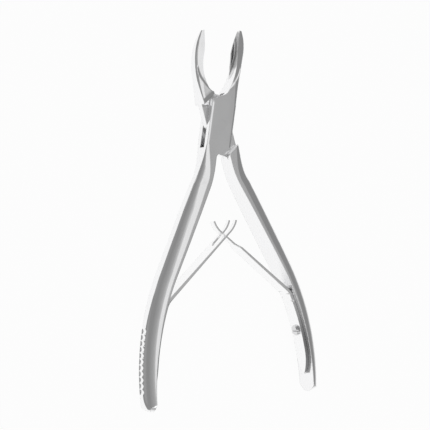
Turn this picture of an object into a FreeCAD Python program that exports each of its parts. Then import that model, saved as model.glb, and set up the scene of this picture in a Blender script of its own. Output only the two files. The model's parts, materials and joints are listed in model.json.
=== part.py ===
import FreeCAD, Part
import math
import os
import Sketcher

# A single-action bone rongeur with a box joint, drawn half open as it rests.
# Z is the pivot's axis and z = 0 is the flat back face of the joint. The jaws point to +Y and the
# handles to -Y. Each half is drawn closed, with its jaw at +X and its handle at -X, and the male
# half is the mirror image. A placement then turns each half about the pivot to the open rest.

SIZES = {
    # the box joint
    "joint_thickness": 8.0,
    "joint_half_width": 6.2,
    "joint_half_length": 10.0,
    "waist_thickness": 3.0,
    "waist_play": 0.08,
    "shoulder_angle": 27.0,
    "shoulder_distance": 12.1,
    "waist_end_angle": 31.0,
    "waist_end_distance": 12.8,
    "end_gap": 0.25,
    "throat_relief": 0.1,
    "pin_radius": 2.2,
    "pin_seat_gap": 0.02,
    "pin_running_gap": 0.06,
    "open_half_angle": 12.6,
    # the broken front and back edges, which widen into the slanted shoulders of the arms
    "joint_bevel": 0.9,
    "bevel_slope": 0.28,
    "corner_turn": 50.0,
    # the throat and the biting rim, seen along the pivot
    "throat_corner_radius": 5.0,
    "throat_radius": 22.4,
    "throat_depth": 3.2,
    "throat_middle": 24.5,
    "rim_start": 33.0,
    "tip_gap": 0.05,
    "jaw_reach": 42.2,
    # the long hollow in each jaw
    "cup_deepest_reach": 31.0,
    "cup_deepest_out": 4.14,
    "cup_slant_angle": 7.2,
    "cup_bow_radius": 21.4,
    "cup_round_radius": 2.25,
    # the inner face of each handle, seen along the pivot
    "neck_half_gap": 0.45,
    "neck_corner_radius": 2.0,
    "neck_bend_radius": 38.0,
    "flare_angle": 15.6,
    "grip_radius": 115.0,
    "grip_apex_out": 17.4,
    "grip_apex_down": 100.5,
    "grip_side_radius": 106.6,
    "grip_side_out": 19.14,
    "grip_side_down": 95.56,
    "grip_side_start": 15.0,
    "grip_row_start": 4.5,
    "grip_side_sweep": 37.0,
    "grip_half_width": 5.8,
    "grip_crown": 3.72,
    "grip_bevel": 1.5,
    "grip_face": 1.9,
    "handle_reach": 129.2,
    "handle_end_radius": 6.0,
    "handle_end_round": 10.0,
    "handle_end_past": 1.6,
    # the finger scallops
    "scallop_radius": 2.1,
    "scallop_depth": 0.42,
    "scallop_pitch": 1.35,
    "scallop_first": 0.0,
    # the leaf springs
    "leaf_seat_gap": 0.1,
    "leaf_base_down": 121.0,
    "leaf_lift_down": 84.0,
    "leaf_lift_radius": 9.0,
    "leaf_rise_angle": 37.6,
    "leaf_straight": 43.0,
    "leaf_curl_radius": 10.0,
    "leaf_curl_end": 5.0,
    "leaf_base_thickness": 1.5,
    "leaf_tip_thickness": 0.8,
    "leaf_half_width": 3.6,
    "leaf_base_taper": 11.0,
    "leaf_base_end": 0.8,
    "fork_slot_down": 51.5,
    "fork_slot_half": 1.95,
    "tongue_down": 52.5,
    "tongue_half": 1.5,
    # the spring screws
    "screw_radius": 1.25,
    "screw_length": 4.6,
    "screw_hole_depth": 3.4,
    "screw_hole_gap": 0.05,
    "head_radius": 2.45,
    "head_height": 1.15,
    "head_bevel": 0.45,
    "head_seat_gap": 0.04,
    "slot_width": 0.8,
    "slot_depth": 0.6,
}

# Cross-sections of a jaw: distance from the pivot, outer edge of its front, depth of its rounded
# outer corners, half its width, how far the width's middle stands forward of the joint's middle,
# how wide the slanted shoulders beside the front and back are, and half the width of the flat
# outer face.
JAW_SECTIONS = {
    "root": (9.5, 6.05, 0.15, 4.0, 0.0, 0.9, 3.5),
    "neck": (13.0, 6.0, 0.25, 3.95, 0.05, 1.0, 3.25),
    "throat": (18.0, 5.95, 0.55, 3.3, 0.7, 1.4, 2.3),
    "beak": (23.5, 5.75, 0.85, 3.05, 1.45, 1.9, 1.7),
    "cup_heel": (29.5, 5.2, 0.95, 3.0, 2.6, 2.1, 1.5),
    "cup": (35.0, 4.25, 0.95, 2.65, 4.4, 2.0, 1.25),
    "cup_toe": (39.5, 2.65, 0.65, 1.75, 6.2, 1.3, 0.8),
    "tip": (42.2, 1.15, 0.35, 0.85, 7.4, 0.6, 0.35),
}

# Cross-sections of a handle: distance from the pivot, outer edge of its front, depth of its
# rounded outer corners, half its width, width of its slanted shoulders, and half the width of its
# flat outer face.
HANDLE_SECTIONS = {
    "root": (9.5, 6.05, 0.15, 4.0, 0.9, 3.5),
    "neck": (14.0, 5.9, 0.5, 4.0, 1.6, 3.0),
    "waist": (20.0, 5.15, 1.8, 4.1, 2.1, 2.0),
    "flare": (28.0, 6.1, 2.9, 4.6, 2.5, 1.6),
    "spread": (40.0, 8.9, 3.4, 5.2, 2.3, 1.6),
    "shank": (58.0, 13.3, 3.6, 5.65, 2.1, 1.8),
}

BEYOND = 30.0


class Size:
    """A number that keeps the sheet formula it comes from."""

    def __init__(self, value, formula=None):
        self.value = float(value)
        self.formula = formula or repr(float(value))

    def join(self, other, sign, value):
        other = other if isinstance(other, Size) else Size(other)
        return Size(value(self.value, other.value), "(%s %s %s)" % (self.formula, sign, other.formula))

    def __add__(self, other):
        return self.join(other, "+", lambda a, b: a + b)

    def __sub__(self, other):
        return self.join(other, "-", lambda a, b: a - b)

    def __mul__(self, other):
        return self.join(other, "*", lambda a, b: a * b)

    def __truediv__(self, other):
        return self.join(other, "/", lambda a, b: a / b)

    def __radd__(self, other):
        return Size(other) + self

    def __rsub__(self, other):
        return Size(other) - self

    def __rmul__(self, other):
        return Size(other) * self

    def __neg__(self):
        return Size(0) - self


def sine(angle):
    return Size(math.sin(math.radians(angle.value)), "sin(%s)" % angle.formula)


def cosine(angle):
    return Size(math.cos(math.radians(angle.value)), "cos(%s)" % angle.formula)


def tangent(angle):
    return sine(angle) / cosine(angle)


def root(number):
    return Size(math.sqrt(number.value), "sqrt(%s)" % number.formula)


def start_document():
    """The document and its sheet of driving dimensions."""
    document = FreeCAD.newDocument("rongeur")
    sheet = document.addObject("Spreadsheet::Sheet", "sizes")
    rows = dict(SIZES)
    for name, values in JAW_SECTIONS.items():
        for part, value in zip(("reach", "side", "crown", "half", "forward", "bevel", "face"), values):
            rows["jaw_%s_%s" % (name, part)] = value
    for name, values in HANDLE_SECTIONS.items():
        for part, value in zip(("down", "side", "crown", "half", "bevel", "face"), values):
            rows["handle_%s_%s" % (name, part)] = value
    for number, (name, value) in enumerate(rows.items(), 1):
        sheet.set("A%d" % number, str(value))
        sheet.setAlias("A%d" % number, name)
    document.recompute()
    return document, {name: Size(value, "sizes.%s" % name) for name, value in rows.items()}


DOC, S = start_document()
MIDDLE = S["joint_thickness"] / 2


def new_body(label):
    body = DOC.addObject("PartDesign::Body", label)
    body.Label = label
    return body


def origin_plane(body, role):
    return [item for item in body.Origin.OriginFeatures if item.Role == role][0]


def new_sketch(body, name, role, lift=None, shift=None, turn=None):
    """A sketch on an origin plane, lifted along its normal, shifted in it or turned about an axis."""
    sketch = body.newObject("Sketcher::SketchObject", name)
    sketch.AttachmentSupport = [(origin_plane(body, role), "")]
    sketch.MapMode = "FlatFace"
    if turn is not None:
        axis, angle = turn
        sketch.AttachmentOffset = FreeCAD.Placement(FreeCAD.Vector(), FreeCAD.Rotation(axis, 1))
        sketch.setExpression("AttachmentOffset.Rotation.Angle", angle.formula)
    if lift is not None:
        sketch.setExpression("AttachmentOffset.Base.z", lift.formula)
    if shift is not None:
        sketch.setExpression("AttachmentOffset.Base.x", as_size(shift[0]).formula)
        sketch.setExpression("AttachmentOffset.Base.y", as_size(shift[1]).formula)
    return sketch


def as_size(number):
    return number if isinstance(number, Size) else Size(number)


def bind(sketch, index, size):
    """Ties a constraint to its formula when the formula reads the sheet."""
    if "sizes." in size.formula:
        sketch.setExpression("Constraints[%d]" % index, size.formula)


def pin_point(sketch, edge, end, point):
    for kind, size in zip(("DistanceX", "DistanceY"), map(as_size, point)):
        index = sketch.addConstraint(Sketcher.Constraint(kind, -1, 1, edge, end, size.value))
        bind(sketch, index, size)


def arc_edge(start, end, radius, turn):
    """A circular edge from start to end that turns left (1) or right (-1)."""
    chord = end - start
    across = FreeCAD.Vector(-chord.y, chord.x, 0).normalize() * turn
    rise = math.sqrt(max(radius ** 2 - (chord.Length / 2) ** 2, 0.0))
    centre = start + chord * 0.5 + across * rise
    first, last = (start, end) if turn > 0 else (end, start)
    angles = [math.atan2(p.y - centre.y, p.x - centre.x) for p in (first, last)]
    if angles[1] < angles[0]:
        angles[1] += 2 * math.pi
    circle = Part.Circle(centre, FreeCAD.Vector(0, 0, 1), radius)
    return Part.ArcOfCircle(circle, angles[0], angles[1])


def draw_outline(sketch, start, steps):
    """A closed outline. A step is a point, or a point with an arc's radius and turn.

    A last step that isn't back at the start is joined to it with a straight line.
    """
    corners = [start] + [step[:2] for step in steps]
    places = [FreeCAD.Vector(as_size(x).value, as_size(y).value, 0) for x, y in corners]
    first_edge = sketch.GeometryCount
    ends = []
    for number, step in enumerate(steps):
        a, b = places[number], places[number + 1]
        if len(step) == 2:
            edge = sketch.addGeometry(Part.LineSegment(a, b), False)
            ends.append((edge, 1, 2))
        else:
            radius, turn = as_size(step[2]), step[3]
            edge = sketch.addGeometry(arc_edge(a, b, radius.value, turn), False)
            ends.append((edge, 1, 2) if turn > 0 else (edge, 2, 1))
    if (places[-1] - places[0]).Length > 1e-6:
        closing = sketch.addGeometry(Part.LineSegment(places[-1], places[0]), False)
        ends.append((closing, 1, 2))
    for number, (edge, _, far_end) in enumerate(ends):
        after = ends[(number + 1) % len(ends)]
        sketch.addConstraint(Sketcher.Constraint("Coincident", edge, far_end, after[0], after[1]))
    for (edge, near_end, _), corner in zip(ends, corners):
        pin_point(sketch, edge, near_end, corner)
    for number, step in enumerate(steps):
        if len(step) == 4:
            radius = as_size(step[2])
            edge = first_edge + number
            index = sketch.addConstraint(Sketcher.Constraint("Radius", edge, radius.value))
            bind(sketch, index, radius)


def draw_circle(sketch, centre, radius):
    place = FreeCAD.Vector(as_size(centre[0]).value, as_size(centre[1]).value, 0)
    circle = Part.Circle(place, FreeCAD.Vector(0, 0, 1), radius.value)
    edge = sketch.addGeometry(circle, False)
    pin_point(sketch, edge, 3, centre)
    bind(sketch, sketch.addConstraint(Sketcher.Constraint("Radius", edge, radius.value)), radius)


def pad(body, name, sketch, length, both_ways=False):
    feature = body.newObject("PartDesign::Pad", name)
    feature.Profile = sketch
    feature.setExpression("Length", length.formula)
    feature.Midplane = both_ways
    return feature


def pocket(body, name, sketch, length=None, both_ways=False, reverse=False):
    """A cut along the sketch's normal, through everything unless it has a length."""
    feature = body.newObject("PartDesign::Pocket", name)
    feature.Profile = sketch
    feature.Midplane = both_ways
    feature.Reversed = reverse
    if length is None:
        feature.Type = 1
    else:
        feature.setExpression("Length", length.formula)
    return feature


def loft(body, name, sketches, ruled=False):
    feature = body.newObject("PartDesign::AdditiveLoft", name)
    feature.Profile = (sketches[0], [""])
    feature.Sections = [(sketch, [""]) for sketch in sketches[1:]]
    feature.Ruled = ruled
    return feature


def revolve(body, kind, name, sketch, axis):
    feature = body.newObject(kind, name)
    feature.Profile = sketch
    feature.ReferenceAxis = (sketch, [axis])
    feature.Angle = 360
    return feature


def crowned_outline(sketch, middle, back, side, crown, half, bevel, face, hand):
    """An arm's section: flat front and back, slanted shoulders, round corners, flat outer face."""
    rise = half - S["bevel_slope"] * bevel
    fall = rise - face
    radius = root(crown * crown + fall * fall) / (2 * sine(S["corner_turn"] / 2))
    draw_outline(sketch, (hand * back, middle - half), [
        (hand * (side - bevel), middle - half),
        (hand * side, middle - rise),
        (hand * (side + crown), middle - face, radius, hand),
        (hand * (side + crown), middle + face),
        (hand * side, middle + rise, radius, hand),
        (hand * (side - bevel), middle + half),
        (hand * back, middle + half),
    ])


def crowned_section(body, name, place, back, side, crown, half, forward, bevel, face, hand):
    """An arm's section square to its length, at a distance from the pivot."""
    sketch = new_sketch(body, name, "XZ_Plane", lift=-place)
    crowned_outline(sketch, MIDDLE + forward, back, side, crown, half, bevel, face, hand)
    return sketch


class Half:
    """One half of the instrument. Its hand is 1 with the jaw at +X and -1 mirrored."""

    def __init__(self, label, hand, trim, passage):
        self.body = new_body(label)
        self.hand = hand
        self.trim_angle, self.trim_distance = trim
        self.passage_angle, self.passage_distance = passage

    def point(self, x, y):
        return (self.hand * x, y)

    def arc(self, x, y, radius, turn):
        return (self.hand * x, y, radius, turn * self.hand)

    def build_joint(self):
        wide, long = S["joint_half_width"], S["joint_half_length"]
        sketch = new_sketch(self.body, "joint_outline", "XY_Plane")
        draw_outline(sketch, (-wide, -long), [(wide, -long), (wide, long), (-wide, long)])
        pad(self.body, "joint_block", sketch, S["joint_thickness"])
        width, drop = S["joint_bevel"], S["joint_bevel"] * S["bevel_slope"]
        for level, toward in ((Size(0), 1), (S["joint_thickness"], -1)):
            sketch = new_sketch(self.body, "joint_bevel_outline", "XZ_Plane")
            for side in (1, -1):
                draw_outline(sketch, (side * (wide - width), level), [
                    (side * (wide + width), level + toward * drop * 2),
                    (side * (wide + width), level - toward * drop),
                    (side * (wide - width), level - toward * drop),
                ])
            pocket(self.body, "joint_bevel", sketch, both_ways=True)

    def build_jaw(self):
        sections = []
        for name in JAW_SECTIONS:
            reach, side, crown, half, forward, bevel, face = [
                S["jaw_%s_%s" % (name, part)]
                for part in ("reach", "side", "crown", "half", "forward", "bevel", "face")]
            sections.append(crowned_section(
                self.body, "jaw_section_%s" % name, reach, -S["joint_half_width"], side, crown, half,
                forward, bevel, face, self.hand))
        loft(self.body, "jaw_arm", sections)

    def build_handle(self):
        sections = []
        for name in HANDLE_SECTIONS:
            down, side, crown, half, bevel, face = [
                S["handle_%s_%s" % (name, part)]
                for part in ("down", "side", "crown", "half", "bevel", "face")]
            sections.append(crowned_section(
                self.body, "handle_section_%s" % name, -down, -S["joint_half_width"], side, crown,
                half, Size(0), bevel, face, -self.hand))
        start, row = S["grip_side_start"], S["grip_row_start"]
        grip = self.grip_section("grip_section", start)
        loft(self.body, "handle_neck", sections[:4])
        loft(self.body, "handle_shank", sections[3:] + [grip], ruled=True)
        self.bow_grip("grip_bow", grip, start - row)
        rest = self.grip_section("grip_row_section", row)
        self.bow_grip("grip_row_bow", rest, S["grip_side_sweep"] - start + row)

    def bow_grip(self, name, section, sweep):
        bow = revolve(self.body, "PartDesign::Revolution", name, section, "V_Axis")
        bow.setExpression("Angle", sweep.formula)
        bow.Reversed = self.hand < 0

    def grip_section(self, name, angle):
        """The grip's section, square to the bow and drawn from the bow's centre."""
        radius, half, crown = S["grip_side_radius"], S["grip_half_width"], S["grip_crown"]
        centre = self.hand * (radius - S["grip_side_out"])
        turn = (FreeCAD.Vector(0, 1, 0), -self.hand * angle)
        sketch = new_sketch(self.body, name, "XZ_Plane", lift=S["grip_side_down"],
                            shift=(centre, Size(0)), turn=turn)
        crowned_outline(sketch, MIDDLE, radius - 12, radius, crown, half, S["grip_bevel"],
                        S["grip_face"], -self.hand)
        return sketch

    def trim_jaw_side(self):
        """Cuts the joint's end shoulder, the throat and the biting rim in one outline."""
        tilt, distance = self.trim_angle, self.trim_distance
        corner, throat = S["throat_corner_radius"], S["throat_radius"]
        centre = (S["throat_depth"] - throat, S["throat_middle"])
        # the corner's arc touches the shoulder line and the throat's arc from inside
        reach = distance + corner
        along = centre[0] * cosine(tilt) + centre[1] * sine(tilt)
        across = centre[1] * cosine(tilt) - centre[0] * sine(tilt)
        span = throat - corner
        slide = along + root(span * span - (reach - across) * (reach - across))
        first = (slide * cosine(tilt) - distance * sine(tilt), slide * sine(tilt) + distance * cosine(tilt))
        middle = (slide * cosine(tilt) - reach * sine(tilt), slide * sine(tilt) + reach * cosine(tilt))
        stretch = throat / span
        second = (centre[0] + (middle[0] - centre[0]) * stretch, centre[1] + (middle[1] - centre[1]) * stretch)
        rise = S["rim_start"] - centre[1]
        rim = (centre[0] + root(throat * throat - rise * rise), S["rim_start"])
        far_y = (distance - BEYOND * sine(tilt)) / cosine(tilt)
        top = S["jaw_reach"] + BEYOND
        sketch = new_sketch(self.body, "throat_outline", "XY_Plane")
        draw_outline(sketch, self.point(Size(-BEYOND), far_y), [
            self.point(*first),
            self.arc(second[0], second[1], corner, 1),
            self.arc(rim[0], rim[1], throat, 1),
            self.point(S["tip_gap"], S["jaw_reach"]),
            self.point(S["tip_gap"], top),
            self.point(Size(-BEYOND), top),
        ])
        pocket(self.body, "throat", sketch, both_ways=True)

    def trim_handle_side(self):
        """Cuts the joint's other shoulder and the handle's inner face in one outline."""
        tilt, distance = self.trim_angle, self.trim_distance
        gap, corner = S["neck_half_gap"], S["neck_corner_radius"]
        bend, flare, grip = S["neck_bend_radius"], S["flare_angle"], S["grip_radius"]
        meet_y = -(distance + gap * sine(tilt)) / cosine(tilt)
        back = corner / tangent((90 + tilt) / 2)
        first = (-gap + back * cosine(tilt), meet_y + back * sine(tilt))
        second = (-gap, meet_y - back)
        centre = grip_centre()
        line_end = (centre[0] - grip * cosine(flare), centre[1] + grip * sine(flare))
        bend_end_x = -(gap + bend * (1 - cosine(flare)))
        bend_end = (bend_end_x, line_end[1] + (bend_end_x - line_end[0]) / tangent(flare))
        bend_start = (-gap, bend_end[1] + bend * sine(flare))
        bottom = -(S["handle_reach"] + 10)
        drop = bottom - centre[1]
        grip_end = (centre[0] - root(grip * grip - drop * drop), bottom)
        far_y = -(distance - BEYOND * sine(tilt)) / cosine(tilt)
        sketch = new_sketch(self.body, "handle_inner_outline", "XY_Plane")
        draw_outline(sketch, self.point(Size(BEYOND), far_y), [
            self.point(*first),
            self.arc(second[0], second[1], corner, 1),
            self.point(*bend_start),
            self.arc(bend_end[0], bend_end[1], bend, -1),
            self.point(*line_end),
            self.arc(grip_end[0], grip_end[1], grip, 1),
            self.point(Size(BEYOND), bottom),
        ])
        pocket(self.body, "handle_inner_face", sketch, both_ways=True)

    def passage_outline(self, name, lift):
        """The slanted strip through the joint that the other half passes along.

        At each end it runs on past the strip where the other half's throat and neck curve away.
        """
        tilt, distance = self.passage_angle, self.passage_distance

        def strip_edge(x, side):
            return self.point(as_size(x), (side * distance - x * sine(tilt)) / cosine(tilt))

        throat_side, neck_side = -S["throat_relief"], -S["neck_half_gap"]
        sketch = new_sketch(self.body, name, "XY_Plane", lift=lift)
        draw_outline(sketch, self.point(Size(-BEYOND), BEYOND), [
            self.point(throat_side, BEYOND),
            strip_edge(throat_side, 1),
            strip_edge(BEYOND, 1),
            self.point(Size(BEYOND), -BEYOND),
            self.point(neck_side, -BEYOND),
            strip_edge(neck_side, -1),
            strip_edge(-BEYOND, -1),
        ])
        return sketch

    def cut_cup(self):
        """The long hollow of the jaw: a round groove on a wide bow, leaning forward with the jaw."""
        rise = S["jaw_cup_toe_forward"] - S["jaw_cup_heel_forward"]
        lean = rise / (S["jaw_cup_toe_reach"] - S["jaw_cup_heel_reach"])
        forward = S["jaw_cup_heel_forward"] + lean * (S["cup_deepest_reach"] - S["jaw_cup_heel_reach"])
        slant, bow, ball = S["cup_slant_angle"], S["cup_bow_radius"], S["cup_round_radius"]
        cup = self.body.newObject("PartDesign::SubtractiveTorus", "cup")
        cup.AttachmentSupport = [(origin_plane(self.body, "XY_Plane"), "")]
        cup.MapMode = "FlatFace"
        cup.setExpression("Radius1", (bow - ball).formula)
        cup.setExpression("Radius2", ball.formula)
        middle = (
            self.hand * (S["cup_deepest_out"] - bow * cosine(slant)),
            S["cup_deepest_reach"] - bow * sine(slant),
            MIDDLE + forward)
        turn = "rotation(vector(0; 0; 1); %s) * rotation(vector(1; 0; 0); %s)" % (
            (self.hand * slant).formula, "atan(%s)" % lean.formula)
        place = "vector(%s; %s; %s)" % tuple(size.formula for size in middle)
        cup.setExpression("AttachmentOffset", "placement(%s; %s)" % (place, turn))

    def drill_pin(self, gap):
        sketch = new_sketch(self.body, "pin_bore_outline", "XY_Plane")
        draw_circle(sketch, (0, 0), S["pin_radius"] + gap)
        pocket(self.body, "pin_bore", sketch, reverse=True)

    def drill_screw_hole(self):
        mouth = self.hand * (1 - S["grip_apex_out"])
        sketch = new_sketch(self.body, "screw_hole_outline", "YZ_Plane", lift=mouth)
        draw_circle(sketch, (-S["grip_apex_down"], MIDDLE), S["screw_radius"] + S["screw_hole_gap"])
        pocket(self.body, "screw_hole", sketch, S["screw_hole_depth"] + 1, reverse=self.hand < 0)

    def round_handle_end(self):
        """Rounds the handle's end as seen from the side."""
        reach, wide = S["handle_reach"], S["handle_end_radius"]
        shoulder = -(reach - wide)
        low, high = MIDDLE - wide, MIDDLE + wide
        bottom = -(reach + BEYOND)
        sketch = new_sketch(self.body, "handle_end_outline", "YZ_Plane")
        draw_outline(sketch, (shoulder, low), [
            (-reach, MIDDLE, wide, -1),
            (shoulder, high, wide, -1),
            (shoulder, high + BEYOND),
            (bottom, high + BEYOND),
            (bottom, low - BEYOND),
            (shoulder, low - BEYOND),
        ])
        pocket(self.body, "handle_end", sketch, both_ways=True)
        # seen along the pivot, the crown turns in to the end on an arc that touches the bow
        bow, ball = S["grip_side_radius"] + S["grip_crown"], S["handle_end_round"]
        centre = grip_side_centre()
        past = reach + S["handle_end_past"]
        span, drop = bow - ball, ball - past - centre[1]
        across = root(span * span - drop * drop)
        first = (centre[0] - across * bow / span, centre[1] + drop * bow / span)
        sketch = new_sketch(self.body, "handle_end_round_outline", "XY_Plane")
        draw_outline(sketch, self.point(*first), [
            self.arc(centre[0] - across, -past, ball, 1),
            self.point(centre[0] - across, bottom),
            self.point(Size(-2 * BEYOND), bottom),
            self.point(Size(-2 * BEYOND), first[1]),
        ])
        pocket(self.body, "handle_end_round", sketch, both_ways=True)

    def cut_scallops(self):
        """A row of finger scallops across the flat outer face of the grip."""
        centre = grip_side_centre()
        sketch = new_sketch(self.body, "scallop_outline", "XY_Plane", lift=MIDDLE,
                            shift=(self.hand * centre[0], centre[1]))
        reach = S["grip_side_radius"] + S["grip_crown"] - S["scallop_depth"] + S["scallop_radius"]
        first = S["scallop_first"]
        draw_circle(sketch, (-self.hand * reach * cosine(first), reach * sine(first)), S["scallop_radius"])
        scallop = pocket(self.body, "scallop", sketch, 2 * S["grip_face"], both_ways=True)
        row = self.body.newObject("PartDesign::PolarPattern", "scallops")
        row.Originals = [scallop]
        row.Axis = (sketch, ["N_Axis"])
        row.Reversed = self.hand < 0
        row.Mode = "Spacing"
        row.setExpression("Offset", S["scallop_pitch"].formula)
        row.Occurrences = 11
        self.body.Tip = row


def grip_centre():
    """Centre of the arc of the handle's inner face, closed, for the half with its jaw at +X."""
    return (S["grip_radius"] - S["grip_apex_out"], -S["grip_apex_down"])


def grip_side_centre():
    """Centre of the arc of the handle's outer side, closed, for the half with its jaw at +X."""
    return (S["grip_side_radius"] - S["grip_side_out"], -S["grip_side_down"])


def female_half():
    """The half with the slot: two cheeks that the other half's waist passes between."""
    half = Half("female_half", 1,
                (S["shoulder_angle"], S["shoulder_distance"]),
                (S["waist_end_angle"], S["waist_end_distance"] + S["end_gap"]))
    half.build_joint()
    half.build_jaw()
    half.build_handle()
    half.trim_jaw_side()
    half.trim_handle_side()
    slot = S["waist_thickness"] + 2 * S["waist_play"]
    sketch = half.passage_outline("slot_outline", lift=MIDDLE - slot / 2)
    pocket(half.body, "slot", sketch, slot, reverse=True)
    half.drill_pin(S["pin_seat_gap"])
    half.drill_screw_hole()
    half.round_handle_end()
    half.cut_cup()
    half.cut_scallops()
    turn_about_pivot(half.body, -S["open_half_angle"])
    return half.body


def male_half():
    """The half with the waist: recessed front and back where the cheeks lie."""
    half = Half("male_half", -1,
                (S["waist_end_angle"], S["waist_end_distance"]),
                (S["shoulder_angle"], S["shoulder_distance"] + S["end_gap"]))
    half.build_joint()
    half.build_jaw()
    half.build_handle()
    half.trim_jaw_side()
    half.trim_handle_side()
    waist = S["waist_thickness"]
    front = half.passage_outline("front_recess_outline", lift=MIDDLE + waist / 2)
    pocket(half.body, "front_recess", front, MIDDLE, reverse=True)
    back = half.passage_outline("back_recess_outline", lift=MIDDLE - waist / 2)
    pocket(half.body, "back_recess", back, MIDDLE)
    half.drill_pin(S["pin_running_gap"])
    half.drill_screw_hole()
    half.round_handle_end()
    half.cut_cup()
    half.cut_scallops()
    turn_about_pivot(half.body, S["open_half_angle"])
    return half.body


def turn_about_pivot(body, angle):
    body.Placement = FreeCAD.Placement(FreeCAD.Vector(), FreeCAD.Rotation(FreeCAD.Vector(0, 0, 1), 1))
    body.setExpression("Placement.Rotation.Angle", angle.formula)


def pivot_pin():
    """The joint's pin, ground flush with both cheeks."""
    body = new_body("pivot_pin")
    sketch = new_sketch(body, "pin_outline", "XY_Plane")
    draw_circle(sketch, (0, 0), S["pin_radius"])
    pad(body, "pin", sketch, S["joint_thickness"])
    return body


def leaf_profile(body, hand):
    """The leaf's long edge: flat on the grip, a bend, a straight rise and a curled end."""
    centre = grip_centre()
    seat = S["grip_radius"] - S["leaf_seat_gap"]
    thick, thin = S["leaf_base_thickness"], S["leaf_tip_thickness"]
    lift, curl = S["leaf_lift_radius"], S["leaf_curl_radius"]
    rise, end = S["leaf_rise_angle"], S["leaf_curl_end"]

    def on_grip(radius, down):
        drop = -down - centre[1]
        return (centre[0] - root(radius * radius - drop * drop), -down)

    sine_start = (-S["leaf_lift_down"] - centre[1]) / seat
    cosine_start = root(1 - sine_start * sine_start)
    base = on_grip(seat, S["leaf_base_down"])
    base_inside = on_grip(seat - thick, S["leaf_base_down"])
    start = on_grip(seat, S["leaf_lift_down"])
    bent = (start[0] + lift * (cosine_start - cosine(rise)), start[1] + lift * (sine(rise) - sine_start))
    length = S["leaf_straight"]
    curl_start = (bent[0] + length * sine(rise), bent[1] + length * cosine(rise))
    tip = (curl_start[0] + curl * (cosine(end) - cosine(rise)),
           curl_start[1] + curl * (sine(rise) - sine(end)))
    inside = [
        (start[0] + thick * cosine_start, start[1] - thick * sine_start),
        (bent[0] + thick * cosine(rise), bent[1] - thick * sine(rise)),
        (curl_start[0] + thin * cosine(rise), curl_start[1] - thin * sine(rise)),
        (tip[0] + thin * cosine(end), tip[1] - thin * sine(end)),
    ]

    def arc(point, radius, turn):
        return (hand * point[0], point[1], radius, turn * hand)

    def corner(point):
        return (hand * point[0], point[1])

    sketch = new_sketch(body, "leaf_edge_outline", "XY_Plane", lift=MIDDLE)
    draw_outline(sketch, corner(base), [
        arc(start, seat, -1),
        arc(bent, lift, -1),
        corner(curl_start),
        arc(tip, curl, 1),
        corner(inside[3]),
        arc(inside[2], curl + thin, -1),
        corner(inside[1]),
        arc(inside[0], lift - thick, 1),
        arc(base_inside, seat - thick, 1),
    ])
    return sketch


def leaf_spring(label, hand, forked):
    """One leaf of the double spring, screwed to its handle at the grip."""
    body = new_body(label)
    wide = S["leaf_half_width"]
    pad(body, "leaf", leaf_profile(body, hand), 2 * wide, both_ways=True)
    taper, narrow = S["leaf_base_taper"], S["leaf_base_end"]
    base = -S["leaf_base_down"]
    shoulder = base + taper
    step = wide - narrow
    ogive = (taper * taper + step * step) / (2 * step)
    low, high = MIDDLE - wide, MIDDLE + wide
    sketch = new_sketch(body, "leaf_base_outline", "YZ_Plane")
    for side, turn in ((1, -1), (-1, 1)):
        edge, tip = MIDDLE + side * wide, MIDDLE + side * narrow
        draw_outline(sketch, (shoulder, edge), [
            (base, tip, ogive, -turn),
            (base - 5, tip),
            (base - 5, edge + side * 5),
            (shoulder, edge + side * 5),
        ])
    pocket(body, "leaf_base", sketch, both_ways=True)
    sketch = new_sketch(body, "leaf_end_outline", "YZ_Plane")
    above = -S["fork_slot_down"] + BEYOND
    if forked:
        half, bottom = S["fork_slot_half"], -S["fork_slot_down"]
        draw_outline(sketch, (bottom, MIDDLE - half), [
            (above, MIDDLE - half),
            (above, MIDDLE + half),
            (bottom, MIDDLE + half),
            (bottom - half, MIDDLE, half, 1),
            (bottom, MIDDLE - half, half, 1),
        ])
    else:
        half, bottom = S["tongue_half"], -S["tongue_down"]
        for side in (1, -1):
            inner = MIDDLE + side * half
            outer = MIDDLE + side * (wide + 2)
            draw_outline(sketch, (bottom + 2, inner), [
                (above, inner),
                (above, outer),
                (bottom, outer),
                (bottom, MIDDLE + side * wide),
            ])
    pocket(body, "leaf_end", sketch, both_ways=True)
    sketch = new_sketch(body, "screw_clearance_outline", "YZ_Plane")
    draw_circle(sketch, (-S["grip_apex_down"], MIDDLE), S["screw_radius"] + S["screw_hole_gap"])
    hole = pocket(body, "screw_clearance", sketch, S["grip_apex_out"] + 5, reverse=hand < 0)
    body.Tip = hole
    turn_about_pivot(body, -hand * S["open_half_angle"])
    return body


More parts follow.
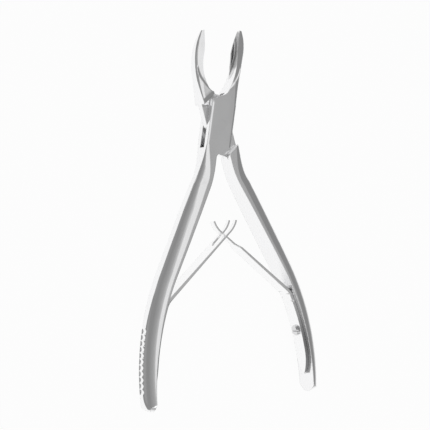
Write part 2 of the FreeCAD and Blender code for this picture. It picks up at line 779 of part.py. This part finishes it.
def spring_screw(label, hand):
    """A slotted screw with a low domed head, along X with its head towards the other handle."""
    body = new_body(label)
    head, height, bevel = S["head_radius"], S["head_height"], S["head_bevel"]
    shank, length = S["screw_radius"], S["screw_length"]
    sketch = new_sketch(body, "screw_outline", "XY_Plane")
    draw_outline(sketch, (-length, 0), [
        (height, 0),
        (height, head - bevel),
        (height - bevel, head),
        (0, head),
        (0, shank),
        (-length, shank),
    ])
    revolve(body, "PartDesign::Revolution", "turned", sketch, "H_Axis")
    slot = new_sketch(body, "slot_outline", "XY_Plane")
    half = S["slot_width"] / 2
    draw_outline(slot, (height - S["slot_depth"], -half), [
        (height + 1, -half), (height + 1, half), (height - S["slot_depth"], half)])
    body.Tip = pocket(body, "driver_slot", slot, both_ways=True)
    # the head's underside lies on the leaf at the crest of the grip
    out = S["grip_apex_out"] - S["leaf_seat_gap"] - S["leaf_base_thickness"] - S["head_seat_gap"]
    down = S["grip_apex_down"]
    turn = S["open_half_angle"]
    x = out * cosine(turn) + down * sine(turn)
    y = out * sine(turn) - down * cosine(turn)
    facing = -turn if hand > 0 else 180 + turn
    body.Placement = FreeCAD.Placement(FreeCAD.Vector(), FreeCAD.Rotation(FreeCAD.Vector(0, 0, 1), 1))
    body.setExpression("Placement.Base.x", (-hand * x).formula)
    body.setExpression("Placement.Base.y", y.formula)
    body.setExpression("Placement.Base.z", MIDDLE.formula)
    body.setExpression("Placement.Rotation.Angle", facing.formula)
    return body


def check_document():
    """Stops if any object failed to build."""
    for item in DOC.Objects:
        if {"Invalid", "Error"} & set(item.State):
            raise RuntimeError("%s failed: %s" % (item.Name, item.State))


def write_parts(bodies):
    os.makedirs("parts", exist_ok=True)
    for body in bodies:
        shape = body.Shape
        if shape.isNull() or not shape.isValid() or len(shape.Solids) != 1:
            raise RuntimeError("%s isn't one valid solid" % body.Label)
        print("%-24s %9.1f mm3 %4d faces" % (body.Label, shape.Volume, len(shape.Faces)))
    for body in bodies:
        body.Shape.exportStep("parts/%s.step" % body.Label)


BODIES = [
    female_half(),
    male_half(),
    pivot_pin(),
    leaf_spring("forked_leaf_spring", 1, True),
    leaf_spring("tongued_leaf_spring", -1, False),
    spring_screw("forked_spring_screw", 1),
    spring_screw("tongued_spring_screw", -1),
]
DOC.recompute()
check_document()
write_parts(BODIES)
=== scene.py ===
import json
import math

import bmesh
import bpy
from mathutils import Matrix, Vector


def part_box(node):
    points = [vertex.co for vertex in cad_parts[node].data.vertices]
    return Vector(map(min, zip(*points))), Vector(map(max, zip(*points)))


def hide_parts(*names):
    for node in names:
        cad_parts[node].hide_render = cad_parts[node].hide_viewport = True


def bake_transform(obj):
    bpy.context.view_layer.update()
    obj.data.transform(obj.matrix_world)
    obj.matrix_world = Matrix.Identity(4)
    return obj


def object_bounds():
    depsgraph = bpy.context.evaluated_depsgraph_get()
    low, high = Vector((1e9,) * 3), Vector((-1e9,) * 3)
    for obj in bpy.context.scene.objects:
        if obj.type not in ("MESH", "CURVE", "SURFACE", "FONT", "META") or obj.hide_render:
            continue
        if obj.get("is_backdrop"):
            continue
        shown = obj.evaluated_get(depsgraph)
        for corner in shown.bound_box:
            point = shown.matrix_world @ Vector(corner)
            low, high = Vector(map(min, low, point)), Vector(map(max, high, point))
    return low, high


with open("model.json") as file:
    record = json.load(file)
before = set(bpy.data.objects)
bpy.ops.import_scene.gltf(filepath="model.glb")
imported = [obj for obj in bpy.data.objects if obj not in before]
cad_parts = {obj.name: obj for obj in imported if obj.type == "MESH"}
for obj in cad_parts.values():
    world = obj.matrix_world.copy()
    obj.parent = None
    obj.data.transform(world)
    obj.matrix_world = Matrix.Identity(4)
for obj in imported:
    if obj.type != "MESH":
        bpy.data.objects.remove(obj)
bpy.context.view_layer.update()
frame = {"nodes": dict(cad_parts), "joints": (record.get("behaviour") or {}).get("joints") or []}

bl_info = {
    "name": "Bone rongeur",
    "version": (1, 0, 0),
    "blender": (4, 5, 0),
    "location": "View3D > Sidebar > Rongeur",
    "description": "Finishes the rongeur's forgings, pin, leaves and screws, and lights them",
    "category": "Object",
}

JOINT = {joint["name"]: joint for joint in frame["joints"]}
OPEN_HALF = math.radians(12.6)

# Degrees round the long axis, from straight up to the left, and how bright the room is there
ROOM_BANDS = (
    (-180, 0.3), (-125, 0.26), (-65, 0.24), (-45, 0.3), (-33, 0.40), (-20, 0.5), (-9, 0.62),
    (6, 0.62), (20, 0.36), (60, 0.25), (95, 0.3), (180, 0.9))
# Where the room's two ends begin to glow along Y, where they glow fully, and how much they add
END_GLOWS = ((-0.25, -0.7, 0.2), (0.5, 0.9, 0.35))
# Name, place, size and watts of each lamp
LAMPS = (
    ("overhead_box", (0.06, 0.0, 1.2), (0.36, 1.6), 0.4),
    ("end_box", (0.0, -1.3, 0.45), (1.2, 0.5), 1.5),
)
FLOOR_SIZE = 3.0
FLOOR_GAP = 0.0002
# How white the floor is to the camera and in the steel, and what the steel loses of it beyond the
# instrument's box, over these distances
FLOOR_SEEN, FLOOR_MIRRORED, FLOOR_LOSS = 0.955, 0.97, 0.62
FLOOR_LOSS_RANGE = (0.004, 0.06)

# Which side each forging's jaw lies on, where the joint's rim crosses the middle and how it slants,
# and how the jaw's root above the rim is ground
FORGINGS = {
    "female_half": {"out": 1.0, "rim_reach": 14.2518, "rim_slant": 0.74,
                    "root_slope": 0.02, "root_lift": 0.5, "root_dip": 0.0},
    "male_half": {"out": -1.0, "rim_reach": 15.7, "rim_slant": -0.45,
                  "root_slope": 0.13, "root_lift": 0.1, "root_dip": 1.0},
}
# Places on a forging are in millimetres of its closed frame: outward, reach and Z
MIDDLE_Z = 4.0
GROOVE_CENTRE = (-17.09, 28.32, 7.14)
GROOVE_AXIS = (0.0425, -0.336, 0.9409)
GROOVE_BOW = 19.15
GROOVE_EDGE = (2.27, 2.36)
GRIP_BOW_CENTRE = (87.46, -95.56)
SCALLOP_DEGREES = 1.35
JAW_FRONT = (18.5, 24.0)
DRAWN_ALONG = (1.0, 0.06, 1.0)

# The handle, the leaf's own body and the bend of each leaf
LEAVES = {
    "forked_leaf_spring": ("female", "forked_leaf", "forked_leaf_bend"),
    "tongued_leaf_spring": ("male", "tongued_leaf", "tongued_leaf_bend"),
}
LEAF_SLOPE = OPEN_HALF + math.radians(37.6)
LEAF_STEPS = 26
LEAF_STEPS_BELOW = 0.006
LEAF_STEPS_SHARE = 0.7
# Where the tongue's shoulders lie along Y, and how far the scene's copy carries them down the leaf
SHOULDERS_Y = (-0.0532, -0.0508)
SHOULDER_ROOM = 0.0032
SHARP_ANGLE = math.radians(35)


class Shade:
    """A node tree's socket or number that joins Math nodes when it is used in an expression."""

    def __init__(self, tree, socket):
        self.tree = tree
        self.socket = socket

    def node(self, kind, settings=None, **inputs):
        """Adds any node: its settings are set first, then its sockets get values or links."""
        node = self.tree.nodes.new(kind)
        for name, value in (settings or {}).items():
            if name == "stops":
                ramp = node.color_ramp
                while len(ramp.elements) < len(value):
                    ramp.elements.new(0.5)
                for element, (place, colour) in zip(ramp.elements, value):
                    element.position = place
                    element.color = colour
            else:
                setattr(node, name, value)
        for name, value in inputs.items():
            key = int(name[1:]) if name[0] == "_" else name.replace("_", " ")
            self.join(value, node.inputs[key])
        return node

    def join(self, value, socket):
        """Links a socket to another, or sets its value."""
        if isinstance(value, Shade):
            value = value.socket
        if isinstance(value, bpy.types.NodeSocket):
            self.tree.links.new(value, socket)
        else:
            socket.default_value = value

    def wrap(self, socket):
        return Shade(self.tree, socket)

    def maths(self, operation, *values, clamp=False):
        node = self.tree.nodes.new("ShaderNodeMath")
        node.operation = operation
        node.use_clamp = clamp
        for value, socket in zip(values, node.inputs):
            self.join(value, socket)
        return self.wrap(node.outputs[0])

    def __add__(self, other):
        return self.maths("ADD", self, other)

    def __radd__(self, other):
        return self.maths("ADD", other, self)

    def __sub__(self, other):
        return self.maths("SUBTRACT", self, other)

    def __rsub__(self, other):
        return self.maths("SUBTRACT", other, self)

    def __mul__(self, other):
        return self.maths("MULTIPLY", self, other)

    def __rmul__(self, other):
        return self.maths("MULTIPLY", other, self)

    def __truediv__(self, other):
        return self.maths("DIVIDE", self, other)

    def __rtruediv__(self, other):
        return self.maths("DIVIDE", other, self)

    def __neg__(self):
        return 0.0 - self

    def clamped(self):
        return self.maths("ADD", self, 0.0, clamp=True)

    def size(self):
        return self.maths("ABSOLUTE", self)

    def root(self):
        return self.maths("SQRT", self)

    def cosine(self):
        return self.maths("COSINE", self)

    def most(self, other):
        """The larger of two values."""
        return self.maths("MAXIMUM", self, other)

    def ramp(self, start, end):
        """Rises smoothly from 0 at start to 1 at end."""
        return self.wrap(self.node(
            "ShaderNodeMapRange", {"interpolation_type": "SMOOTHSTEP"},
            Value=self, From_Min=start, From_Max=end).outputs[0])

    def fade(self, start, end):
        """Falls smoothly from 1 at start to 0 at end."""
        return 1.0 - self.ramp(start, end)

    def ridge(self, half_width):
        """Is 1 where the value is 0, and falls off smoothly on both sides."""
        return self.size().fade(0.0, half_width * 2)

    def dot(self, first, second):
        return self.wrap(self.node(
            "ShaderNodeVectorMath", {"operation": "DOT_PRODUCT"}, _0=first, _1=second
        ).outputs["Value"])

    def split(self, vector):
        """The three numbers of a vector."""
        parts = self.node("ShaderNodeSeparateXYZ", Vector=vector)
        return [self.wrap(parts.outputs[side]) for side in "XYZ"]

    def noise(self, place, scale, detail, rough):
        return self.wrap(self.node(
            "ShaderNodeTexNoise", Vector=place, Scale=scale, Detail=detail, Roughness=rough
        ).outputs["Fac"])

    def bevel(self, radius):
        """The surface's normal, rounded near edges."""
        return self.node("ShaderNodeBevel", {"samples": 6}, Radius=radius).outputs[0]

    def turned(self, normal, source, target):
        """A normal brought from world to object space, or back."""
        return self.node("ShaderNodeVectorTransform", {
            "vector_type": "NORMAL", "convert_from": source, "convert_to": target},
            Vector=normal).outputs[0]

    def blend(self, share, first, second, kind="RGBA"):
        """Mixes two colours or vectors."""
        node = self.node("ShaderNodeMix", {"data_type": kind})
        self.join(share, node.inputs[0])
        for value, socket in zip((first, second), (4, 5) if kind == "VECTOR" else (6, 7)):
            if kind == "RGBA" and isinstance(value, (list, tuple)):
                value = (*value, 1)
            self.join(value, node.inputs[socket])
        return node.outputs[1 if kind == "VECTOR" else 2]


def new_material(name):
    material = bpy.data.materials.new(name)
    material.use_nodes = True
    material.node_tree.nodes.clear()
    return material, Shade(material.node_tree, None)


def tinted(colour, share):
    """The colour made lighter or darker, and never past white."""
    return [min(1.0, part * share) for part in colour]


def satin(shade, colour, roughness, grain, along, normal,
          mottle=0.04, polish=0.06, shadow=0.0, corner_shade_share=1.2):
    """Joins a satin finish: drawn grain, soft blotches, edges polished by use, painted shade in
    recesses that see little open air, and a painted shadow where given.
    """
    place = shade.node("ShaderNodeTexCoord").outputs["Object"]
    stretched = shade.node("ShaderNodeMapping", Vector=place, Scale=along).outputs[0]
    lines = shade.noise(stretched, grain, 3.0, 0.6)
    blotches = shade.noise(place, 120.0, 2.0, 0.5)
    flat = shade.node("ShaderNodeNewGeometry").outputs["Normal"]
    edge = ((1.0 - shade.dot(normal, flat)) * 9.0).clamped()
    open_air = shade.wrap(shade.node(
        "ShaderNodeAmbientOcclusion", {"samples": 6, "only_local": True}, Distance=0.0035
    ).outputs["AO"])
    # Painted shade: recesses that see little open air are darkened, down to a sixth of the colour
    painted_corner_shade = 1.0 - shade.maths("SMOOTH_MIN", open_air * 1.9, 1.0, 0.1)
    tone = (0.5 + (blotches - 0.5) * (mottle * 8.0) + (lines - 0.5) * 0.35).clamped()
    steel = shade.blend(tone, tinted(colour, 1 - mottle), tinted(colour, 1 + mottle))
    steel = shade.blend(edge * 0.7, steel, tinted(colour, 1.06))
    steel = shade.blend(painted_corner_shade * corner_shade_share, steel, tinted(colour, 0.16))
    steel = shade.blend(shadow, steel, tinted(colour, 0.5))
    rough = roughness + (lines - 0.5) * 0.10 + (blotches - 0.5) * 0.06 - edge * polish
    waves = shade.node("ShaderNodeBump", Strength=1.0, Distance=0.0003,
                       Height=shade.noise(place, 75.0, 1.0, 0.4), Normal=normal)
    scratches = shade.node("ShaderNodeBump", Strength=0.05, Distance=0.00005, Height=lines,
                           Normal=waves.outputs[0])
    surface = shade.node("ShaderNodeBsdfPrincipled", Base_Color=steel, Roughness=rough.clamped(),
                         Metallic=1.0, Normal=scratches.outputs[0])
    shade.node("ShaderNodeOutputMaterial", Surface=surface.outputs[0])


def turned_steel(name, colour, roughness, along=DRAWN_ALONG, soft_edge=0.00015):
    """The steel of the pin and the screws."""
    material, shade = new_material(name)
    satin(shade, colour, roughness, 5200.0, along, shade.bevel(soft_edge))
    return material


def leaf_steel(name, colour, roughness):
    """Tempered leaf: painted shade darkens its narrow edges towards the screwed foot."""
    material, shade = new_material(name)
    place = shade.node("ShaderNodeTexCoord").outputs["Object"]
    down = shade.split(place)[1] * -1000.0
    flat = shade.node("ShaderNodeNewGeometry").outputs["Normal"]
    narrow = shade.dot(flat, (0.0, 0.0, 1.0)).size().ramp(0.6, 0.8)
    # Painted shade along the narrow edges, growing towards the screwed foot
    painted_edge_shade = narrow * down.ramp(72.0, 108.0) * 1.2
    satin(shade, colour, roughness, 4200.0, (0.3, 0.3, 1.0), shade.bevel(0.0003), shadow=painted_edge_shade)
    return material


def jaw_slopes(above, outward, reach, ahead, root_slope, root_lift, root_dip):
    """How much the ground front of a jaw leans outward, and how much its root leans back."""
    jaw = reach.ramp(*JAW_FRONT)
    root = above.ramp(0.0, 1.4) * reach.fade(19.0, 23.0)
    rim = above.ridge(0.3)
    down = 27.8 - reach
    crease = (outward - 5.6 - down * 0.06 + down * down * 0.037).ridge(0.42)
    crease = crease * reach.ramp(14.0, 15.5) * reach.fade(26.0, 28.5)
    dip = (above.fade(-0.5, 0.3) * reach.ramp(9.2, 10.2) * root_dip).most(crease)
    least = jaw * 0.22 + root * root_slope
    slope = (ahead.most(least) - ahead) * (1.0 - dip) - (ahead + 0.3) * dip
    lift = root * root_lift + rim * (root_lift - 0.1)
    return slope * reach.ramp(8.6, 9.6), lift


def arm_crown(shade, outward, below, front, inward, grip):
    """Where an arm's rounded side stands upright, and where it is level along its length."""
    turn = shade.maths("ARCTAN2", GRIP_BOW_CENTRE[1] + below, GRIP_BOW_CENTRE[0] - outward)
    turn = turn * (180.0 / math.pi)
    row = turn.ramp(-1.0, -0.4) * turn.fade(13.9, 14.5)
    ripple = (turn * (2 * math.pi / SCALLOP_DEGREES)).cosine() * row
    neck = below.ramp(11.0, 13.0) * below.fade(30.0, 36.0)
    crown_start = (1.9 - grip * 1.15 + ripple * 0.25) + below.fade(12.0, 24.0) * 1.6
    behind = front - crown_start
    upright = (inward.ramp(0.75, 0.9) * behind.ramp(-0.15, 0.25) * front.fade(4.5, 5.0)
               * grip.ramp(0.0, 0.2).most(neck))
    level = inward.ramp(0.3, 0.45) * behind.ramp(0.0, 0.3) * below.ramp(11.0, 13.0)
    return upright, level


def jaw_hollow(outward, reach, z, inward):
    """Where a jaw is hollowed by its groove, and where the groove's lip is."""
    across, along, rise = (
        value - centre for value, centre in zip((outward, reach, z), GROOVE_CENTRE))
    off_plane = across * GROOVE_AXIS[0] + along * GROOVE_AXIS[1] + rise * GROOVE_AXIS[2]
    square = across * across + along * along + rise * rise - off_plane * off_plane
    from_bow = square.root() - GROOVE_BOW
    from_groove = (from_bow * from_bow + off_plane * off_plane).root()
    hollow = from_groove.fade(*GROOVE_EDGE) * reach.ramp(16.0, 18.0)
    lip = from_groove.fade(2.7, 3.4) * inward.ramp(0.5, 0.8) * reach.ramp(25.0, 28.0)
    return hollow, lip


def forged_steel(name, colour, roughness, out, rim_reach, rim_slant, **root):
    """A forging's steel. Its jaw's front is ground to slope outward, down to a crease."""
    material, shade = new_material(name)
    place = shade.node("ShaderNodeTexCoord").outputs["Object"]
    x, y, z = (part * 1000.0 for part in shade.split(place))
    cos, sin = math.cos(OPEN_HALF), math.sin(OPEN_HALF)
    outward = x * (out * cos) - y * sin
    reach = x * (out * sin) + y * cos
    below, front = -reach, z - MIDDLE_Z
    grip = below.ramp(76.0, 100.0)

    flat = shade.node("ShaderNodeNewGeometry").outputs["Normal"]
    pin_away = (x * x + y * y).root()
    soft = pin_away.ramp(2.5, 2.9) * (1.0 - reach.ramp(*JAW_FRONT) * 0.8)
    rounded = shade.blend(soft, flat, shade.bevel(0.0004), kind="VECTOR")
    own = shade.turned(rounded, "WORLD", "OBJECT")
    facing = shade.dot(own, (0.0, 0.0, 1.0)).ramp(0.7, 0.9)
    ahead = shade.dot(own, (out, 0.0, 0.0))
    inward = -ahead

    above = reach - (outward * rim_slant + rim_reach)
    slope, lift = jaw_slopes(above, outward, reach, ahead, **root)
    upright, level = arm_crown(shade, outward, below, front, inward, grip)
    tilt = shade.node(
        "ShaderNodeCombineXYZ", X=slope * facing * out,
        Y=lift * facing + shade.dot(own, (0.0, -1.0, 0.0)) * level, Z=upright * 0.9).outputs[0]
    leaning = shade.node(
        "ShaderNodeVectorMath", {"operation": "ADD"}, _0=own, _1=tilt).outputs[0]
    normal = shade.turned(leaning, "OBJECT", "WORLD")

    hollow, lip = jaw_hollow(outward, reach, z, inward)
    # Painted shade in the jaw's hollow and over the groove's lip
    shaded = (hollow * 0.3).most(lip * 1.2)
    if out < 0:
        # Painted shade in the male half's slot, where the joint's inner faces lie in shadow
        slot_window_shade = (-x).ramp(0.5, 1.5) * y.ramp(-11.5, -10.6) * y.fade(-1.6, -0.8)
        shaded = shaded + slot_window_shade * 1.5
    satin(shade, colour, roughness + hollow * 0.16, 5200.0, DRAWN_ALONG, normal,
          shadow=shaded, corner_shade_share=(1.2 - hollow) * (1.0 - grip))
    return material


class SteelSettings(bpy.types.PropertyGroup):
    forged_colour: bpy.props.FloatVectorProperty(
        name="Forged steel", description="Colour of the two forgings", subtype="COLOR",
        default=(0.94, 0.94, 0.945), min=0, max=1)
    spring_colour: bpy.props.FloatVectorProperty(
        name="Spring steel", description="Colour of the two leaves", subtype="COLOR",
        default=(0.96, 0.96, 0.965), min=0, max=1)
    screw_colour: bpy.props.FloatVectorProperty(
        name="Screw steel", description="Colour of the two screws", subtype="COLOR",
        default=(0.74, 0.74, 0.745), min=0, max=1)
    forged_roughness: bpy.props.FloatProperty(
        name="Forged roughness", description="How satin the forgings and the pin are",
        subtype="FACTOR", default=0.20, min=0, max=1)
    spring_roughness: bpy.props.FloatProperty(
        name="Spring roughness", description="How satin the leaves are",
        subtype="FACTOR", default=0.18, min=0, max=1)
    screw_roughness: bpy.props.FloatProperty(
        name="Screw roughness", description="How satin the screws are",
        subtype="FACTOR", default=0.22, min=0, max=1)


class StudioSettings(bpy.types.PropertyGroup):
    azimuth: bpy.props.FloatProperty(
        name="Camera azimuth", description="How far the camera stands to the left of the front",
        subtype="ANGLE", default=math.radians(33.0))
    lean: bpy.props.FloatProperty(
        name="Lean", description="How far the instrument leans to the left in the picture",
        subtype="ANGLE", default=math.radians(3.1))
    distance: bpy.props.FloatProperty(
        name="Camera distance", description="From the camera to the pivot",
        subtype="DISTANCE", default=0.65)
    picture_width: bpy.props.IntProperty(
        name="Picture width", description="Width of the picture", subtype="PIXEL", default=430)
    pixel_size: bpy.props.FloatProperty(
        name="Pixel size", description="Width of a picture element at the pivot",
        subtype="DISTANCE", default=0.000445)
    pivot_across: bpy.props.FloatProperty(
        name="Pivot across", description="Where the pivot stands in the picture, from the left",
        subtype="PIXEL", default=217.0)
    pivot_down: bpy.props.FloatProperty(
        name="Pivot down", description="Where the pivot stands in the picture, from the top",
        subtype="PIXEL", default=125.0)


def finish_node(name, material):
    """Gives a CAD node its material."""
    node = frame["nodes"][name]
    node.data.materials.clear()
    node.data.materials.append(material)


class RONGEUR_OT_forgings(bpy.types.Operator):
    """Gives the two forged halves their satin finish"""

    bl_idname = "rongeur.forgings"
    bl_label = "Forgings"

    def execute(self, context):
        steels = context.scene.rongeur_steel
        for name, ground in FORGINGS.items():
            finish_node(name, forged_steel(
                name.replace("half", "forging"), steels.forged_colour,
                steels.forged_roughness, **ground))
        return {"FINISHED"}


class RONGEUR_OT_fasteners(bpy.types.Operator):
    """Gives the pin and the two spring screws their turned finish"""

    bl_idname = "rongeur.fasteners"
    bl_label = "Pin and screws"

    def execute(self, context):
        steels = context.scene.rongeur_steel
        finish_node("pivot_pin", turned_steel(
            "pin_steel", steels.forged_colour, steels.forged_roughness, soft_edge=0.00005))
        screw = turned_steel(
            "screw_steel", steels.screw_colour, steels.screw_roughness, along=(1.0, 1.0, 1.0))
        for name in ("forked_spring_screw", "tongued_spring_screw"):
            finish_node(name, screw)
        return {"FINISHED"}


class RONGEUR_OT_leaves(bpy.types.Operator):
    """Makes the two leaf springs that bend as the handles close"""

    bl_idname = "rongeur.leaves"
    bl_label = "Leaf springs"

    def execute(self, context):
        steels = context.scene.rongeur_steel
        material = leaf_steel("spring_steel", steels.spring_colour, steels.spring_roughness)
        for name, (handle, leaf, bend) in LEAVES.items():
            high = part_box(name)[1]
            bend_place = Vector(JOINT[bend]["pos_m"])
            mesh = frame["nodes"][name].data.copy()
            mesh.name = name + "_blade"
            self.cut_steps(mesh, bend_place.y, high.y, lower=name == "tongued_leaf_spring")
            piece = bpy.data.objects.new(name + "_blade", mesh)
            context.scene.collection.objects.link(piece)
            mesh.materials.clear()
            mesh.materials.append(material)
            mesh.shade_smooth()
            mesh.set_sharp_from_angle(angle=SHARP_ANGLE)
            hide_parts(name)
            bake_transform(piece)
        return {"FINISHED"}

    def cut_steps(self, mesh, bend_y, tip_y, lower):
        """Cuts a leaf across many times, so that it bends smoothly."""
        form = bmesh.new()
        form.from_mesh(mesh)
        bmesh.ops.remove_doubles(form, verts=form.verts, dist=1e-6)
        if lower:
            self.lower_shoulders(form)
        for step in range(1, LEAF_STEPS):
            y = (bend_y - LEAF_STEPS_BELOW
                 + (tip_y - bend_y) * LEAF_STEPS_SHARE * step / LEAF_STEPS)
            everything = form.verts[:] + form.edges[:] + form.faces[:]
            bmesh.ops.bisect_plane(
                form, geom=everything, plane_co=(0, y, 0), plane_no=(0, 1, 0))
        form.to_mesh(mesh)
        form.free()

    def lower_shoulders(self, form):
        """Makes the tongue longer, so that the fork's prongs miss its shoulders when closed."""
        down_leaf = Vector((math.sin(LEAF_SLOPE), -math.cos(LEAF_SLOPE), 0.0))
        for vert in form.verts:
            if SHOULDERS_Y[0] < vert.co.y < SHOULDERS_Y[1]:
                vert.co += down_leaf * SHOULDER_ROOM


class RONGEUR_OT_studio(bpy.types.Operator):
    """Sets up the floor, the light and the camera"""

    bl_idname = "rongeur.studio"
    bl_label = "Studio"

    def execute(self, context):
        self.place_camera(context, context.scene.rongeur_studio)
        self.lay_floor(context)
        self.light_room(context)
        self.hang_lamps(context)
        context.scene.view_settings.view_transform = "Standard"
        return {"FINISHED"}

    def place_camera(self, context, studio):
        turn, lean = studio.azimuth, studio.lean
        back = Vector((-math.sin(turn), 0, math.cos(turn)))
        across = Vector((math.cos(turn), 0, math.sin(turn)))
        up = Vector((0, 1, 0))
        right = math.cos(lean) * across - math.sin(lean) * up
        top = math.cos(lean) * up + math.sin(lean) * across
        middle = studio.picture_width / 2
        pivot = Vector(JOINT["jaw_pivot"]["pos_m"])
        target = pivot - right * (studio.pivot_across - middle) * studio.pixel_size
        target -= top * (middle - studio.pivot_down) * studio.pixel_size
        data = bpy.data.cameras.new("camera")
        data.sensor_width = 36.0
        field = studio.picture_width * studio.pixel_size
        data.lens = data.sensor_width * studio.distance / field
        data.clip_start, data.clip_end = 0.01, 20.0
        camera = bpy.data.objects.new("camera", data)
        camera.matrix_world = Matrix.Translation(target + back * studio.distance) @ Matrix(
            (right, top, back)).transposed().to_4x4()
        context.scene.collection.objects.link(camera)
        context.scene.camera = camera

    def lay_floor(self, context):
        """Lays a matt floor that is white to the camera and in the steel close to the object."""
        low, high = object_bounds()
        mesh = bpy.data.meshes.new("floor")
        form = bmesh.new()
        bmesh.ops.create_grid(form, x_segments=1, y_segments=1, size=FLOOR_SIZE)
        form.to_mesh(mesh)
        form.free()
        floor = bpy.data.objects.new("floor", mesh)
        floor.location = (0, 0, low.z - FLOOR_GAP)
        context.scene.collection.objects.link(floor)
        material, shade = new_material("floor_white")
        path = shade.node("ShaderNodeLightPath")
        seen, mirrored = (
            shade.wrap(path.outputs[ray]) for ray in ("Is Camera Ray", "Is Glossy Ray"))
        x, y, _ = shade.split(shade.node("ShaderNodeNewGeometry").outputs["Position"])
        off_side = x.size() - high.x
        off_end = (y - (low.y + high.y) / 2).size() - (high.y - low.y) / 2
        beyond = off_side.most(off_end).ramp(*FLOOR_LOSS_RANGE)
        white = shade.node("ShaderNodeEmission", Color=(1, 1, 1, 1),
                           Strength=1.0 - beyond * mirrored * FLOOR_LOSS)
        matt = shade.node("ShaderNodeBsdfDiffuse", Color=(0.9, 0.9, 0.9, 1))
        bright = (seen * FLOOR_SEEN).most(mirrored * FLOOR_MIRRORED)
        mixed = shade.node("ShaderNodeMixShader", Fac=bright,
                           _1=matt.outputs[0], _2=white.outputs[0])
        shade.node("ShaderNodeOutputMaterial", Surface=mixed.outputs[0])
        mesh.materials.append(material)
        floor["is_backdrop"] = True

    def light_room(self, context):
        """Lights the room in soft bands round the instrument's long axis."""
        world = bpy.data.worlds.new("room")
        context.scene.world = world
        world.use_nodes = True
        world.node_tree.nodes.clear()
        shade = Shade(world.node_tree, None)
        path = shade.node("ShaderNodeLightPath")
        x, y, z = shade.split(shade.node("ShaderNodeTexCoord").outputs["Generated"])
        round_object = shade.maths("ARCTAN2", -x, z) / math.tau + 0.5
        bands = shade.node("ShaderNodeValToRGB", {"stops": [
            (0.5 + angle / 360.0, (level, level, level, 1)) for angle, level in ROOM_BANDS]},
            Fac=round_object)
        level = shade.wrap(bands.outputs["Color"])
        for start, full, added in END_GLOWS:
            level = level + y.ramp(start, full) * added
        room = shade.node("ShaderNodeBackground", Color=(1, 1, 1, 1), Strength=level)
        backdrop = shade.node("ShaderNodeBackground", Color=(1, 1, 1, 1), Strength=1.0)
        mixed = shade.node("ShaderNodeMixShader", Fac=path.outputs["Is Camera Ray"],
                           _1=room.outputs[0], _2=backdrop.outputs[0])
        shade.node("ShaderNodeOutputWorld", Surface=mixed.outputs[0])

    def hang_lamps(self, context):
        """Hangs the weak lamps, each turned to the pivot with its long side as given."""
        for name, place, size, power in LAMPS:
            data = bpy.data.lights.new(name, "AREA")
            data.shape = "RECTANGLE"
            data.size, data.size_y = size
            data.energy = power
            lamp = bpy.data.objects.new(name, data)
            away = Vector(place).normalized()
            across = Vector((0, 1, 0)).cross(away).normalized()
            lamp.matrix_world = Matrix.Translation(place) @ Matrix(
                (across, away.cross(across), away)).transposed().to_4x4()
            lamp.visible_camera = False
            context.scene.collection.objects.link(lamp)


class RONGEUR_PT_panel(bpy.types.Panel):
    """Shows the rongeur's operators and settings"""

    bl_label = "Rongeur"
    bl_idname = "RONGEUR_PT_panel"
    bl_space_type = "VIEW_3D"
    bl_region_type = "UI"
    bl_category = "Rongeur"

    def draw(self, context):
        for operator in OPERATORS:
            self.layout.operator(operator.bl_idname)
        for settings in (context.scene.rongeur_steel, context.scene.rongeur_studio):
            for name in settings.__annotations__:
                self.layout.prop(settings, name)


OPERATORS = (RONGEUR_OT_forgings, RONGEUR_OT_fasteners, RONGEUR_OT_leaves, RONGEUR_OT_studio)
CLASSES = (SteelSettings, StudioSettings, *OPERATORS, RONGEUR_PT_panel)


def register():
    for kind in CLASSES:
        bpy.utils.register_class(kind)
    bpy.types.Scene.rongeur_steel = bpy.props.PointerProperty(type=SteelSettings)
    bpy.types.Scene.rongeur_studio = bpy.props.PointerProperty(type=StudioSettings)


def unregister():
    del bpy.types.Scene.rongeur_studio
    del bpy.types.Scene.rongeur_steel
    for kind in reversed(CLASSES):
        bpy.utils.unregister_class(kind)


def main():
    register()
    bpy.ops.rongeur.forgings()
    bpy.ops.rongeur.fasteners()
    bpy.ops.rongeur.leaves()
    bpy.ops.rongeur.studio()


if __name__ == "__main__":
    main()
